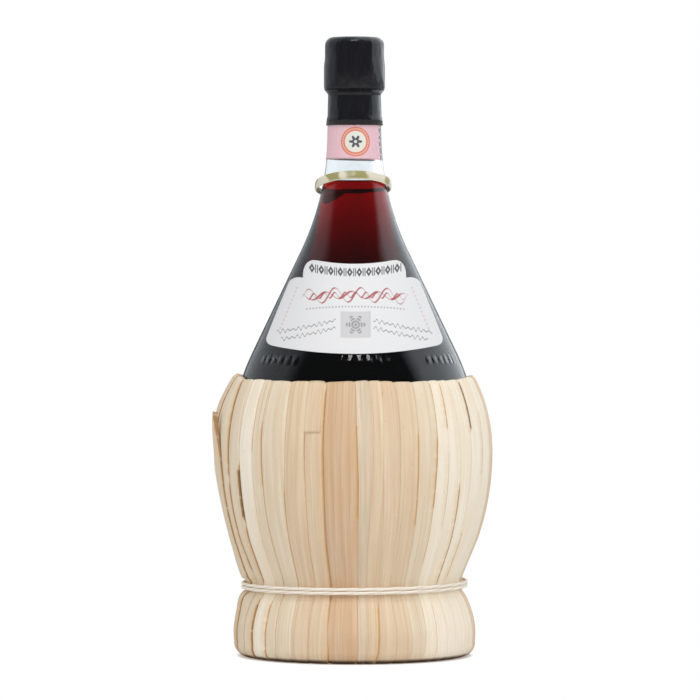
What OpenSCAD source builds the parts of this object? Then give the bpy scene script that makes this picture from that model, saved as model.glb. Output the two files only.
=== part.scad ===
// Straw-covered wine flask: a blown glass flask in a basket of dried sedge leaves.
// Z is up, the origin is on the table under the middle of the foot, and -Y is the front.

/* [Glass flask] */
// Height of the corked and capped flask above the table
overall_h = 290; // [275:1:320]
// Height of the glass bottom above the table
bottom_z = 26; // [22:1:30]
// Radius of the glass at its belly
belly_r = 58.2; // [55:0.1:60]
// Height of the belly above the table
belly_z = 97; // [90:1:102]
// Half angle of the cone between belly and neck, in degrees
cone_angle = 25.6; // [24:0.1:27]
// Height at which the cone starts to curve into the neck
cone_top_z = 189.5; // [184:0.5:192]
// Height at which the curve ends and the neck starts
neck_z = 242.6; // [238:0.5:246]
// Radius of the neck at its foot
neck_r = 12.5; // [12.2:0.1:12.8]
// Taper of the neck on each side, in degrees
neck_taper = 1.5; // [1:0.1:2]
// Thickness of the blown wall
glass_wall = 3.2; // [2.5:0.1:3.6]
// Radius of the bore in the neck
bore_r = 9.25; // [8.5:0.05:9.5]
// Radius of the lip above the bead
lip_r = 13.4; // [12.8:0.1:13.5]
// Radius of the bead below the lip
bead_r = 13.85; // [13.6:0.05:14.2]
// Distance from the mouth down to the top of the bead
bead_drop = 14.2; // [12:0.1:16]
// Height of the bead
bead_h = 8; // [6:0.5:9]
// Rounding of the mouth
lip_round = 3.6; // [2.5:0.1:3.8]

/* [Wine, cork and capsule] */
// Height of the wine's surface above the table
wine_z = 222.7; // [210:0.5:228]
// Length of the cork
cork_len = 44; // [38:1:45]
// Clearance round the cork
cork_clear = 0.05; // [0.02:0.01:0.08]
// Thickness of the capsule's foil
foil_t = 0.35; // [0.25:0.05:0.5]
// Clearance between capsule and lip
foil_clear = 0.08; // [0.05:0.01:0.1]
// Width of the cut that parts the capsule below the bead
foil_cut = 0.25; // [0.15:0.05:0.4]
// Length of the capsule below its cut
skirt_len = 17.6; // [14:0.2:20]
// Outward flare of the capsule's lower edge
skirt_flare = 0.3; // [0.2:0.05:0.8]

/* [Papers] */
// Thickness of the seal strip, with its overlap
strip_t = 0.25; // [0.15:0.05:0.35]
// Height of the seal strip that shows below the capsule
strip_show = 16.9; // [14:0.1:20]
// Height of the strip that lies under the capsule
strip_tuck = 3.2; // [2:0.1:4]
// Tilt of the strip's lower edge, down towards the back, in degrees
strip_tilt = 3; // [0:0.5:4]
// Thickness of the front label
label_t = 0.2; // [0.1:0.05:0.3]
// Height of the label's lower edge above the table
label_z = 142.6; // [141:0.5:148]
// Height of the label's body, up to its shoulders
label_body_h = 31.3; // [26:0.1:33]
// Height of the tab above the shoulders
label_tab_h = 10; // [6:0.2:11]
// Half width of the label at its lower corners
label_low_w = 42.2; // [36:0.1:43]
// Half width of the label at its shoulders
label_top_w = 29.6; // [28:0.1:32]
// Half width of the tab at its foot
label_tab_w = 24.4; // [18:0.1:25]
// Half width of the tab at its top
label_tip_w = 18.1; // [14:0.1:20]
// Rise of the label's lower edge from its middle to its corners
label_low_bow = 4.1; // [2:0.1:5]
// Rise of the tab's upper edge from its middle to its corners
label_top_bow = 1.7; // [0.5:0.1:2.5]
// Rounding of the label's corners
label_round = 2.6; // [1:0.1:3]

/* [Basket] */
// Height of the basket's rim above the table
rim_z = 131.1; // [126:0.1:133]
// Thickness of the basket over the glass at its belly
basket_pad = 7.1; // [6.5:0.1:10]
// Height of the swell above the table
swell_z = 96.4; // [90:0.5:100]
// Radius of the curve from the swell up to the rim
upper_arc = 77; // [70:1:85]
// Radius of the curve from the swell down to the straight
lower_arc = 130; // [115:1:140]
// Slope at which that curve ends, in degrees
waist_slope = 18.5; // [16:0.5:21]
// Outside radius of the leaves behind the waist cord
waist_r = 51; // [49:0.1:52]
// Height of the waist above the table
waist_z = 33.5; // [30:0.5:35]
// Outside radius of the foot
foot_r = 57.2; // [55:0.1:60]
// Height of the foot's widest place
foot_z = 10.5; // [9:0.5:13]
// Radius of the curve from the foot up to the waist
foot_arc = 38; // [34:1:45]
// Rounding of the foot's lower edge
foot_round = 6.5; // [5:0.5:8]
// Radius of the hole in the foot
hole_r = 38; // [34:0.5:40]
// Depth to which the leaf ends are folded in behind the rim
fold_in = 21; // [14:1:24]

/* [Leaves] */
// Thickness of a leaf
leaf_t = 0.45; // [0.35:0.05:0.5]
// Height by which each leaf climbs over the next
leaf_lift = 1; // [0.9:0.05:1.1]
// Width by which each leaf covers the next, in degrees
leaf_cover = 1.1; // [0.6:0.1:1.4]
// Crown of a leaf along its middle
leaf_crown = 0.12; // [0:0.02:0.15]
// Slack between leaves and what lies beside them
leaf_gap = 0.3; // [0.2:0.05:0.4]
// Lean of the seams over the height of the basket, in degrees
leaf_lean = 1.2; // [0:0.1:1.6]

/* [Cords] */
// Diameter of the waist cord
cord_d = 1.7; // [1.3:0.1:2]
// Rise between the turns of the waist cord, beside its diameter
cord_gap = 0.5; // [0.45:0.05:0.7]
// Turns of the waist cord
cord_turns = 2; // [2:1:3]
// Diameter of the cord in the rim
rim_cord_d = 1.6; // [1:0.1:1.7]
// Height of the neck loop's strip
loop_w = 4.2; // [3:0.1:5]
// Thickness of the neck loop's strip
loop_t = 1.1; // [0.7:0.1:1.4]
// Height of the neck loop above the table, at the sides
loop_z = 220.8; // [218:0.1:228]
// Rise of the neck loop at the front and its drop at the back
loop_wave = 4.6; // [0:0.1:5]
// Slack of the neck loop round the glass
loop_slack = 0.7; // [0.5:0.1:1.2]
// Length of the neck loop's tail
tail_len = 9; // [6:1:20]

/* [Hidden] */
// Widths of the leaves seen from the front, in degrees from left to right
front_deg = [9, 10, 6, 10, 9.4, 9.1, 14.2, 4.5, 5.8, 7.6, 8, 8, 7, 7.3, 7.1, 10, 11];
// Direction of the first of them, in degrees from the front
front_start = -67;
back_count = 23;
leaf_count = len(front_deg) + back_count;
back_deg = 360 - sum_to(front_deg, len(front_deg));
// The leaves behind vary round their mean by this share
back_vary = 0.28;
$fn = 72;

// Steps in the curves of the glass, in the flare, the shoulder and the bottom
flare_steps = 12;
shoulder_steps = 8;
bottom_steps = 14;
// Outside radius of the basket at its swell
swell_r = belly_r + basket_pad;
// Heights on the mouth and neck, from the top down
mouth_z = overall_h - foil_t - foil_clear;
bead_top_z = mouth_z - bead_drop;
bead_low_z = bead_top_z - bead_h;
cut_z = bead_low_z;
bead_slope_h = 3.8;
throat_z = bead_low_z - bead_slope_h;
skirt_z = cut_z - skirt_len;
strip_low_z = skirt_z - strip_show;
// A leaf's full standing height over its bed, at the far edge of the narrowest one
stack = leaf_t + leaf_lift * (1 + leaf_cover / min(front_deg));
// Slack of the wine in the glass, and of papers on it
wine_gap = 0.05;
paper_gap = 0.05;

function sum_to(v, n) = n <= 0 ? 0 : v[n - 1] + sum_to(v, n - 1);
function leaf_name(i) = str("leaf_", i < 9 ? "0" : "", i + 1);

// Glass outline. Each entry is [radius, height, outward normal in radius and height].
flare_r = (neck_z - cone_top_z) / (sin(cone_angle) - sin(neck_taper));
cone_top_r = neck_r + flare_r * (cos(neck_taper) - cos(cone_angle));
shoulder_r = (cone_top_r + (cone_top_z - belly_z) * tan(cone_angle) - belly_r)
  * cos(cone_angle) / (1 - cos(cone_angle));
flare_pts = [for (i = [0:flare_steps]) let (a = neck_taper + (cone_angle - neck_taper) * i / flare_steps)
  [neck_r + flare_r * (cos(neck_taper) - cos(a)), neck_z - flare_r * (sin(a) - sin(neck_taper)),
   cos(a), sin(a)]];
shoulder_pts = [for (i = [0:shoulder_steps]) let (a = cone_angle * (1 - i / shoulder_steps))
  [belly_r - shoulder_r * (1 - cos(a)), belly_z + shoulder_r * sin(a), cos(a), sin(a)]];
bottom_pts = [for (i = [1:bottom_steps])
  let (a = 90 * i / bottom_steps, h = belly_z - bottom_z, n = norm([h * cos(a), belly_r * sin(a)]))
  [belly_r * cos(a), belly_z - h * sin(a), h * cos(a) / n, -belly_r * sin(a) / n]];
glass_pts = concat(flare_pts, shoulder_pts, bottom_pts);

// The glass outline moved inwards by d, never across the axis.
function inset(d) = [for (p = glass_pts) [max(0, p[0] - d * p[2]), p[1] - d * p[3]]];
// Radius of the glass outline at height z, between the belly and the neck.
shoulder_top_z = belly_z + shoulder_r * sin(cone_angle);
function glass_r(z) = z > neck_z ? neck_r - (z - neck_z) * tan(neck_taper)
  : z > cone_top_z ? neck_r + flare_r * (cos(neck_taper)
    - cos(asin(sin(neck_taper) + (neck_z - z) / flare_r)))
  : z > shoulder_top_z ? cone_top_r + (cone_top_z - z) * tan(cone_angle)
  : z > belly_z ? belly_r - shoulder_r + sqrt(pow(shoulder_r, 2) - pow(z - belly_z, 2))
  : belly_r * sqrt(max(0, 1 - pow((belly_z - z) / (belly_z - bottom_z), 2)));

// Outline of the mouth, d proud of the glass: the rounded lip, the band under it and the bead.
lip_steps = 6;
lip_ease = 6;
function mouth_pts(d) = concat(
  [for (i = [0:lip_steps]) let (a = 90 * i / lip_steps)
    [lip_r - lip_round + (lip_round + d) * sin(a), mouth_z - lip_round + (lip_round + d) * cos(a)]],
  [[lip_r + d, bead_top_z + lip_ease + d], [bead_r + d, bead_top_z + d], [bead_r + d, bead_low_z]]);

module glass_bottle() color([0.80, 0.88, 0.82, 0.35]) rotate_extrude() difference() {
  polygon(concat([[0, mouth_z]], mouth_pts(0), [[glass_r(throat_z), throat_z]],
    [for (p = glass_pts) [p[0], p[1]]]));
  polygon(hollow(0));
}

// The hollow in the glass, drawn in by d: a straight bore that opens into the belly.
throat_ease = 1.5;
function hollow(d) = let (in = inset(glass_wall + d), wide = [for (p = in) if (p[0] > bore_r - d) p])
  concat([[0, overall_h], [bore_r - d, overall_h], [bore_r - d, wide[0][1] + throat_ease]], wide,
    [in[len(in) - 1]]);

module wine() color([0.35, 0.02, 0.05]) intersection() {
  rotate_extrude() polygon(hollow(wine_gap));
  cylinder(r = belly_r, h = wine_z);
}

module cork() color([0.78, 0.62, 0.42])
  translate([0, 0, mouth_z - cork_len]) cylinder(r = bore_r - cork_clear, h = cork_len);

// The capsule's top is a cup. Below its rounded edge it clears the bead all the way down.
module capsule_top() color([0.07, 0.07, 0.08]) rotate_extrude() difference() {
  polygon(concat([[0, overall_h]], mouth_pts(foil_clear + foil_t), [[0, cut_z]]));
  polygon(concat([[0, mouth_z + foil_clear]], mouth_pts(foil_clear), [[0, cut_z]]));
  translate([0, cut_z - 1]) square([bead_r + foil_clear, bead_h]);
}

// The capsule's skirt goes from the cut in to the neck, and its free edge covers the strip.
module capsule_skirt() color([0.07, 0.07, 0.08]) rotate_extrude() {
  strip_out = paper_gap + strip_t + foil_clear;
  slope = (bead_r - glass_r(throat_z)) / bead_slope_h;
  top = cut_z - foil_cut;
  top_r = bead_r - slope * foil_cut + foil_clear;
  throat_r = glass_r(throat_z) + foil_clear;
  cover_z = skirt_z + strip_tuck + foil_t;
  cover_r = glass_r(cover_z) + strip_out;
  edge_r = glass_r(skirt_z) + strip_out + skirt_flare;
  polygon([[top_r, top], [top_r + foil_t, top], [throat_r + foil_t, throat_z - foil_t],
    [cover_r + foil_t, cover_z], [edge_r + foil_t, skirt_z], [edge_r, skirt_z], [cover_r, cover_z],
    [throat_r, throat_z - foil_t]]);
}

// A thin skin on the glass between two heights, from a to b proud of it.
module skin(low, high, a, b, steps) rotate_extrude() polygon(concat(
  [for (i = [0:steps]) let (z = high - (high - low) * i / steps) [glass_r(z) + a, z]],
  [for (i = [0:steps]) let (z = low + (high - low) * i / steps) [glass_r(z) + b, z]]));

module seal_strip() color([0.93, 0.62, 0.66]) intersection() {
  skin(strip_low_z - 3, skirt_z + strip_tuck, paper_gap, paper_gap + strip_t, 8);
  translate([0, 0, strip_low_z]) rotate([strip_tilt, 0, 0]) translate([0, 0, 25]) cube(50, center = true);
}

// Front view of the label: a body with slanting sides and a narrower tab on its shoulders.
// Its edges bow up to the sides, as on a flat sheet that wraps a cone.
label_steps = 6;
label_h = label_body_h + label_tab_h;
label_half = [[label_low_w, 0], [label_top_w, label_body_h], [label_tab_w, label_body_h + label_tab_h * 0.1],
  [label_tab_w - 0.6, label_body_h + label_tab_h * 0.32], [label_tip_w + 3.2, label_h - label_tab_h * 0.22],
  [label_tip_w, label_h]];
function bowed(x, up) =
  let (low = label_low_bow / pow(label_low_w, 2), top = label_top_bow / pow(label_tip_w, 2))
  [x, label_z + up + (low + (top - low) * up / label_h) * x * x];
module label_outline() {
  last = len(label_half) - 1;
  offset(r = label_round) offset(delta = -label_round) polygon(concat(
    [for (k = [-label_steps:label_steps]) bowed(label_low_w * k / label_steps, 0)],
    [for (k = [1:last]) bowed(label_half[k][0], label_half[k][1])],
    [for (k = [1 - label_steps:label_steps - 1]) bowed(-label_tip_w * k / label_steps, label_h)],
    [for (k = [last:-1:1]) bowed(-label_half[k][0], label_half[k][1])]));
}

module front_label() color([0.95, 0.94, 0.91]) intersection() {
  skin(label_z - 2, label_z + label_h + 3, paper_gap, paper_gap + label_t, 4);
  rotate([90, 0, 0]) linear_extrude(belly_r + 5) label_outline();
}

// Leaf path in radius and height, at a leaf's underside. Each entry is
// [radius, height, share of the lift, share of the cover].
slope_z = swell_z - lower_arc * sin(waist_slope);
slope_r = swell_r - lower_arc * (1 - cos(waist_slope));
// The leaves run straight down behind the waist cord.
cord_pitch = cord_d + cord_gap;
waist_half = (cord_pitch * cord_turns + cord_d) / 2 + leaf_gap;
function basket_r(z) = z > swell_z ? swell_r - upper_arc + sqrt(pow(upper_arc, 2) - pow(z - swell_z, 2))
  : z > slope_z ? swell_r - lower_arc + sqrt(pow(lower_arc, 2) - pow(swell_z - z, 2))
  : slope_r + (waist_r - slope_r) * (slope_z - z) / (slope_z - waist_z - waist_half);
function foot_side_r(z) = foot_r - foot_arc + sqrt(pow(foot_arc, 2) - pow(z - foot_z, 2));
foot_high_z = waist_z - waist_half - cord_d;
// The leaf turns over the rim in a half circle between its inner and outer runs.
turn_z = rim_z - stack - 1.1;
fold_bed = leaf_gap / 2 + leaf_t + leaf_crown;
turn_in_r = glass_r(turn_z) + fold_bed;
turn_out_r = basket_r(turn_z) - stack;
turn_r = (turn_out_r - turn_in_r) / 2;
turn_mid_r = (turn_out_r + turn_in_r) / 2;
fold_z = turn_z - fold_in;
// Where the leaves lie side by side, in the fold and under the foot, they stay this share of a cover apart.
trim = -0.25;
leaf_path = concat(
  [for (i = [0:2]) let (z = fold_z + fold_in * i / 3) [glass_r(z) + fold_bed, z, 0, trim]],
  [for (a = [180, 120, 60, 0]) [turn_mid_r + turn_r * cos(a), turn_z + turn_r * sin(a), 1 - a / 180,
    a > 0 ? trim : 1]],
  [for (i = [1:4]) let (z = turn_z + (swell_z - turn_z) * i / 4) [basket_r(z) - stack, z, 1, 1]],
  [for (i = [1:4]) let (z = swell_z + (slope_z - swell_z) * i / 4) [basket_r(z) - stack, z, 1, 1]],
  [for (z = [waist_z + waist_half, waist_z - waist_half]) [waist_r - stack, z, 1, 1]],
  [for (i = [0:3]) let (z = foot_high_z + (foot_round - foot_high_z) * i / 3)
    [foot_side_r(z) - stack, z, 1, 1]],
  [for (a = [-35, -65]) let (k = a == -35 ? 1 : 0.5, d = foot_round - leaf_t - leaf_lift * k)
    [foot_side_r(foot_round) - foot_round + d * cos(a), foot_round + d * sin(a), k, trim]],
  [for (r = [foot_side_r(foot_round) - foot_round, hole_r + 2]) [r, leaf_t, 0, trim]]);
path_end = len(leaf_path) - 1;

// The outward normal of the path at entry j, from its neighbours on both sides.
function path_normal(j) = j >= path_end - 1 ? [0, -1]
  : let (a = leaf_path[max(0, j - 1)], b = leaf_path[min(path_end, j + 1)], d = [b[0] - a[0], b[1] - a[1]])
    [-d[1], d[0]] / norm(d);
path_normals = [for (j = [0:path_end]) path_normal(j)];

// Direction of seam i at height z, counted from the front towards +X.
function leaf_width(i) = i < len(front_deg) ? front_deg[i]
  : back_deg / back_count * (1 + back_vary * back_wave(i - len(front_deg)));
// A wave that adds up to nothing over the leaves behind.
function back_wave(k) = (cos(360 * 7 * (k + 0.5) / back_count) + cos(360 * 3 * (k + 0.5) / back_count)) / 2;
seam_deg = [for (i = 0, a = front_start; i <= leaf_count; a = a + leaf_width(i), i = i + 1) a];
lean_step = 97;
function seam(i, z) = seam_deg[i]
  + leaf_lean * sin(lean_step * (i % leaf_count)) * (z - waist_z) / (rim_z - waist_z);

// Point of leaf i at path entry j, at column c of 0 to 2, side 0 under and 1 on top.
function leaf_point(i, j, c, side) =
  let (p = leaf_path[j], n = path_normals[j], a = seam(i, p[1]), w = seam(i + 1, p[1]) - a,
       t = a + (w + leaf_cover * p[3]) * c / 2,
       h = p[2] * (leaf_lift * (t - a) / w + (c == 1 ? leaf_crown : 0)) + side * leaf_t,
       r = p[0] + n[0] * h)
  [r * sin(t), -r * cos(t), p[1] + n[1] * h];

// One leaf, a closed strip. The ring at each entry runs over the top and back underneath.
ring = [[0, 1], [1, 1], [2, 1], [2, 0], [1, 0], [0, 0]];
module leaf(i) {
  m = len(ring);
  points = [for (j = [0:path_end]) for (q = ring) leaf_point(i, j, q[0], q[1])];
  sides = [for (j = [0:path_end - 1]) for (k = [0:m - 1])
    let (a = j * m + k, b = j * m + (k + 1) % m, flip = k == 1 || k == 3)
    each flip ? [[a, b, a + m], [b, b + m, a + m]] : [[a, b, b + m], [a, b + m, a + m]]];
  ends = [for (e = [0, path_end]) let (o = e * m)
    each e == 0 ? [[o + 5, o + 4, o + 1, o], [o + 4, o + 3, o + 2, o + 1]]
      : [[o, o + 1, o + 4, o + 5], [o + 1, o + 2, o + 3, o + 4]]];
  color(i % 3 == 0 ? [0.80, 0.66, 0.44] : i % 3 == 1 ? [0.72, 0.66, 0.48] : [0.86, 0.76, 0.56])
    polyhedron(points, concat(ends, sides), convexity = 6);
}

// The corners of a tube of tube_sides sides along a path. Its rings stay upright.
tube_sides = 6;
function tube_points(path, half_w, half_t) = let (last = len(path) - 1)
  [for (j = [0:last])
    let (d = path[min(last, j + 1)] - path[max(0, j - 1)], t = d / norm(d),
         side = cross(t, [0, 0, 1]), s = side / norm(side), u = cross(s, t))
    for (k = [0:tube_sides - 1]) let (a = 360 * (k + 0.5) / tube_sides)
      path[j] + s * half_t * cos(a) + u * half_w * sin(a)];
module tube(path, half_w, half_t) {
  last = len(path) - 1;
  m = tube_sides;
  sides = [for (j = [0:last - 1]) for (k = [0:m - 1]) let (a = j * m + k, b = j * m + (k + 1) % m)
    each [[a, a + m, b + m], [a, b + m, b]]];
  polyhedron(tube_points(path, half_w, half_t),
    concat([[for (k = [0:m - 1]) k], [for (k = [m - 1:-1:0]) last * m + k]], sides), convexity = 8);
}
// The least distance between corners of rings that lie at least apart rings from each other.
function least_gap(points, apart) = min([for (i = [0:len(points) - 1])
  let (first = (floor(i / tube_sides) + apart) * tube_sides)
  if (first < len(points)) min([for (j = [first:len(points) - 1]) norm(points[i] - points[j])])]);

module rim_cord() color([0.70, 0.56, 0.36])
  rotate_extrude() translate([turn_mid_r, turn_z - rim_cord_d / 2]) circle(d = rim_cord_d);

// The waist cord winds in one helix. Its ends run straight on, side by side with the turns.
cord_steps = 24;
cord_run_r = (waist_r + leaf_gap / 2 + cord_d / 2) / cos(180 / cord_steps);
cord_start = 160;
cord_path = let (n = cord_steps * cord_turns,
    turn = [for (i = [0:n]) let (a = cord_start + 360 * i / cord_steps)
      [cord_run_r * sin(a), -cord_run_r * cos(a), waist_z + cord_pitch * cord_turns * (i / n - 1 / 2)]],
    d0 = turn[0] - turn[1], d1 = turn[n] - turn[n - 1])
  concat([turn[0] + d0 / norm(d0) * cord_d * 2, turn[0] + d0 / norm(d0) * cord_d], turn,
    [turn[n] + d1 / norm(d1) * cord_d, turn[n] + d1 / norm(d1) * cord_d * 2]);
module waist_cord() color([0.84, 0.73, 0.52]) tube(cord_path, cord_d / 2, cord_d / 2);

// The neck loop: its tail rises at the back and goes on round the neck, first to +X.
// The strip comes back from -X and ends in a short lap over its start.
loop_steps = 24;
loop_cross = 188;
loop_lap = 14;
tail_steps = 4;
tail_turn = 13;
// The strip's outer end stands off by this and sinks by this
loop_out = loop_t + 1.2;
loop_sink = 1;
function loop_h(a) = loop_z + loop_wave * cos(a);
function loop_at(a, out, drop) =
  let (z = loop_h(a) - drop, r = glass_r(z - loop_w / 2) + loop_slack + loop_t / 2 + out)
  [r * sin(a), -r * cos(a), z];
loop_path = concat(
  [for (i = [0:tail_steps - 1]) let (k = 1 - i / tail_steps)
    loop_at(loop_cross + tail_turn * k, 0, tail_len * k)],
  [for (i = [0:loop_steps]) let (k = i / loop_steps)
    loop_at(loop_cross - (360 + loop_lap) * k, loop_out * pow(k, 2), loop_sink * pow(k, 4))]);
module neck_loop() color([0.72, 0.68, 0.45]) tube(loop_path, loop_w / 2, loop_t / 2);

// The lining fills the room between the glass and the leaves.
module sedge_lining() color([0.66, 0.56, 0.36]) rotate_extrude() polygon(concat(
  [for (i = [0:4]) let (z = turn_z - rim_cord_d - leaf_gap * 2 - (turn_z - fold_z - rim_cord_d) * i / 4)
    [glass_r(z) + fold_bed + leaf_gap, z]],
  [for (i = [0:lining_steps]) let (z = fold_z - 2 - (fold_z - 2 - lining_low_z) * i / lining_steps)
    [glass_r(z) + leaf_gap, z]],
  [for (i = [0:lining_steps / 2]) let (z = lining_low_z + (swell_z - lining_low_z) * i * 2 / lining_steps)
    [basket_r(z) - stack - leaf_gap, z]],
  [for (i = [1:4]) let (z = swell_z + (turn_z - rim_cord_d - leaf_gap * 2 - swell_z) * i / 4)
    [basket_r(z) - stack - leaf_gap, z]]));
lining_low_z = waist_z + waist_half;
lining_steps = 16;

// The ring of twisted sedge in the foot. Its top is a seat for the round bottom.
ring_low = leaf_t + leaf_gap;
ring_top_z = lining_low_z - leaf_gap;
function ring_out_r(z) = foot_side_r(z) - stack - leaf_gap;
module foot_ring() color([0.70, 0.60, 0.40]) rotate_extrude() difference() {
  polygon([[hole_r + foot_round / 2, ring_low], [foot_r - foot_round, ring_low],
    [ring_out_r(foot_round) - foot_round / 3, foot_round * 0.6],
    [ring_out_r(foot_round) - leaf_gap, foot_round], [ring_out_r(foot_z), foot_z],
    [ring_out_r(foot_high_z) - leaf_gap, foot_high_z],
    [waist_r - stack - leaf_gap, waist_z - waist_half], [waist_r - stack - leaf_gap, ring_top_z],
    [0, ring_top_z], [0, bottom_z], [hole_r, bottom_z - 3], [hole_r, ring_low + foot_round / 2]]);
  polygon([for (p = inset(-leaf_gap)) p]);
  square([hole_r, ring_top_z]);
}

echo(waist_cord_gap = least_gap(tube_points(cord_path, cord_d / 2, cord_d / 2), cord_steps / 2));
echo(neck_loop_gap = least_gap(tube_points(loop_path, loop_w / 2, loop_t / 2), loop_steps / 2));

glass_bottle();
wine();
cork();
capsule_top();
capsule_skirt();
seal_strip();
front_label();
neck_loop();
rim_cord();
sedge_lining();
waist_cord();
foot_ring();
for (i = [0:leaf_count - 1]) leaf(i);
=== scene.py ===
"""A straw-covered wine flask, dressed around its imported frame. Lengths below are in millimetres.

The pieces follow in the order in which the flask is put together: glass, wine, cork, seal strip,
capsule, label, lining, foot ring, leaves, cords and neck loop, then the studio.
"""

import bmesh
import bpy
import numpy as np
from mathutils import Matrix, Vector


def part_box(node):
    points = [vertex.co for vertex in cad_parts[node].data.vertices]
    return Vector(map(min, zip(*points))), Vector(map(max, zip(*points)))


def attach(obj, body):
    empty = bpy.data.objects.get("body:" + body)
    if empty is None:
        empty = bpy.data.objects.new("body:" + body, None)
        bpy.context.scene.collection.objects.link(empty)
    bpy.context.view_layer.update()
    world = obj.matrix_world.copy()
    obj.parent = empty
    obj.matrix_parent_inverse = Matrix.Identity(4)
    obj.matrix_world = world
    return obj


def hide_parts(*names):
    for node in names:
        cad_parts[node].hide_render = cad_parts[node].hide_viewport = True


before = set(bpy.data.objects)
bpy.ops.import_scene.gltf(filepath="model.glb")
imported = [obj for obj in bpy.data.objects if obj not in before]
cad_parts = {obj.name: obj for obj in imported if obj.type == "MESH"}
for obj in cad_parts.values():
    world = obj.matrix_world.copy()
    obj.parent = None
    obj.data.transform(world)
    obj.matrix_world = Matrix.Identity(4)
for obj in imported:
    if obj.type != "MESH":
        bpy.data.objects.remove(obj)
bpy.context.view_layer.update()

# Glass flask. Blown from clear glass with a round bottom, a long conical shoulder and a neck with
# a bead below its mouth. The wall is thick, and a row of small raised beads runs above the basket.
MM = 0.001


def box(node):
    """Lowest and highest corner of a CAD node in millimetres."""
    return [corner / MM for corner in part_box(node)]


glass_low, glass_high = box("glass_bottle")
bottom_z, mouth_z, belly_r = glass_low.z, glass_high.z, glass_high.x
belly_z = 97.0
cone_angle, neck_taper = np.radians(25.6), np.radians(1.5)
cone_top_z, neck_z, neck_r = 189.5, 242.6, 12.5
glass_wall, bore_r = 3.2, 9.25
lip_r, lip_round, lip_ease = 13.4, 3.6, 6.0
bead_r, bead_drop, bead_h, bead_slope, bead_ease = 13.85, 14.2, 9.8, 2.0, 0.9
bead_top_z = mouth_z - bead_drop
bead_low_z = bead_top_z - bead_h
throat_z = bead_low_z - bead_slope
flare_r = (neck_z - cone_top_z) / (np.sin(cone_angle) - np.sin(neck_taper))
cone_top_r = neck_r + flare_r * (np.cos(neck_taper) - np.cos(cone_angle))
shoulder_r = ((cone_top_r + (cone_top_z - belly_z) * np.tan(cone_angle) - belly_r)
              * np.cos(cone_angle) / (1 - np.cos(cone_angle)))
shoulder_z = belly_z + shoulder_r * np.sin(cone_angle)


def root(value):
    """Square root, with nothing under it taken as zero."""
    return np.sqrt(np.maximum(value, 0))


def glass_radius(z):
    """Outside radius of the glass at height z.

    From the top: the tapered neck, a hollow arc, the straight cone, the shoulder's arc, half an ellipse.
    """
    z = np.asarray(z, float)
    lean = np.arcsin(np.clip(np.sin(neck_taper) + (neck_z - z) / flare_r, -1, 1))
    return np.select(
        [z > neck_z, z > cone_top_z, z > shoulder_z, z > belly_z],
        [neck_r - (z - neck_z) * np.tan(neck_taper),
         neck_r + flare_r * (np.cos(neck_taper) - np.cos(lean)),
         cone_top_r + (cone_top_z - z) * np.tan(cone_angle),
         belly_r - shoulder_r + root(shoulder_r ** 2 - (z - belly_z) ** 2)],
        belly_r * root(1 - ((belly_z - z) / (belly_z - bottom_z)) ** 2))


def belly_path():
    """Outline of the glass from the bottom's middle up to the throat, as rows of radius and height."""
    turn = np.radians(np.linspace(0, 90, 40))
    low = np.stack([belly_r * np.sin(turn), belly_z - (belly_z - bottom_z) * np.cos(turn)], 1)
    z = np.linspace(belly_z, throat_z, 140)[1:]
    return np.concatenate([low, np.stack([glass_radius(z), z], 1)])


def mouth_path(proud=0.0):
    """Outline of the mouth from the bead's foot up to the top, proud of the glass by that much.

    The bead's foot is eased in an arc, the wall tapers to the lip and ends in a quarter circle.
    """
    turn = np.radians(np.linspace(90, 0, 14))
    lip = np.stack([lip_r - lip_round + (lip_round + proud) * np.sin(turn),
                    mouth_z - lip_round + (lip_round + proud) * np.cos(turn)], 1)
    ease = np.radians(np.linspace(-90, 0, 6))
    foot = np.stack([bead_r - bead_ease + (bead_ease + proud) * np.cos(ease),
                     bead_low_z + bead_ease + bead_ease * np.sin(ease)], 1)
    wall = np.linspace(bead_top_z, bead_top_z + lip_ease, 6)
    share = (wall - bead_top_z) / lip_ease
    wall = np.stack([bead_r + proud + (lip_r - bead_r) * share * share * (3 - 2 * share), wall], 1)
    return np.concatenate([foot, wall, lip])


def unit(vectors):
    """The vectors, each divided by its length."""
    return vectors / np.linalg.norm(vectors, axis=-1, keepdims=True)


def normals(path):
    """A path's normals in its plane, a quarter turn to the left of its direction."""
    along = unit(np.gradient(path, axis=0))
    return np.stack([-along[:, 1], along[:, 0]], 1)


def offset(path, distance):
    """The path moved along its normals by that distance, and never across the axis."""
    moved = path + normals(path) * distance
    moved[:, 0] = np.maximum(moved[:, 0], 0)
    return moved


def turned(r, t, z):
    """Points at radius r, angle t from the front to +X, and height z: x = r sin t, y = -r cos t."""
    return np.stack(np.broadcast_arrays(r * np.sin(t), -r * np.cos(t), z), -1)


def around(path, segments, bulge=None):
    """Grid of points for a path of radius and height turned about the axis. bulge(t, z) adds to r."""
    t = np.linspace(0, 2 * np.pi, segments, endpoint=False)[None, :]
    r, z = path[:, :1] + 0 * t, path[:, 1:] + 0 * t
    if bulge is not None:
        r = r + bulge(t + 0 * r, z)
    return turned(r, t, z)


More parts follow.
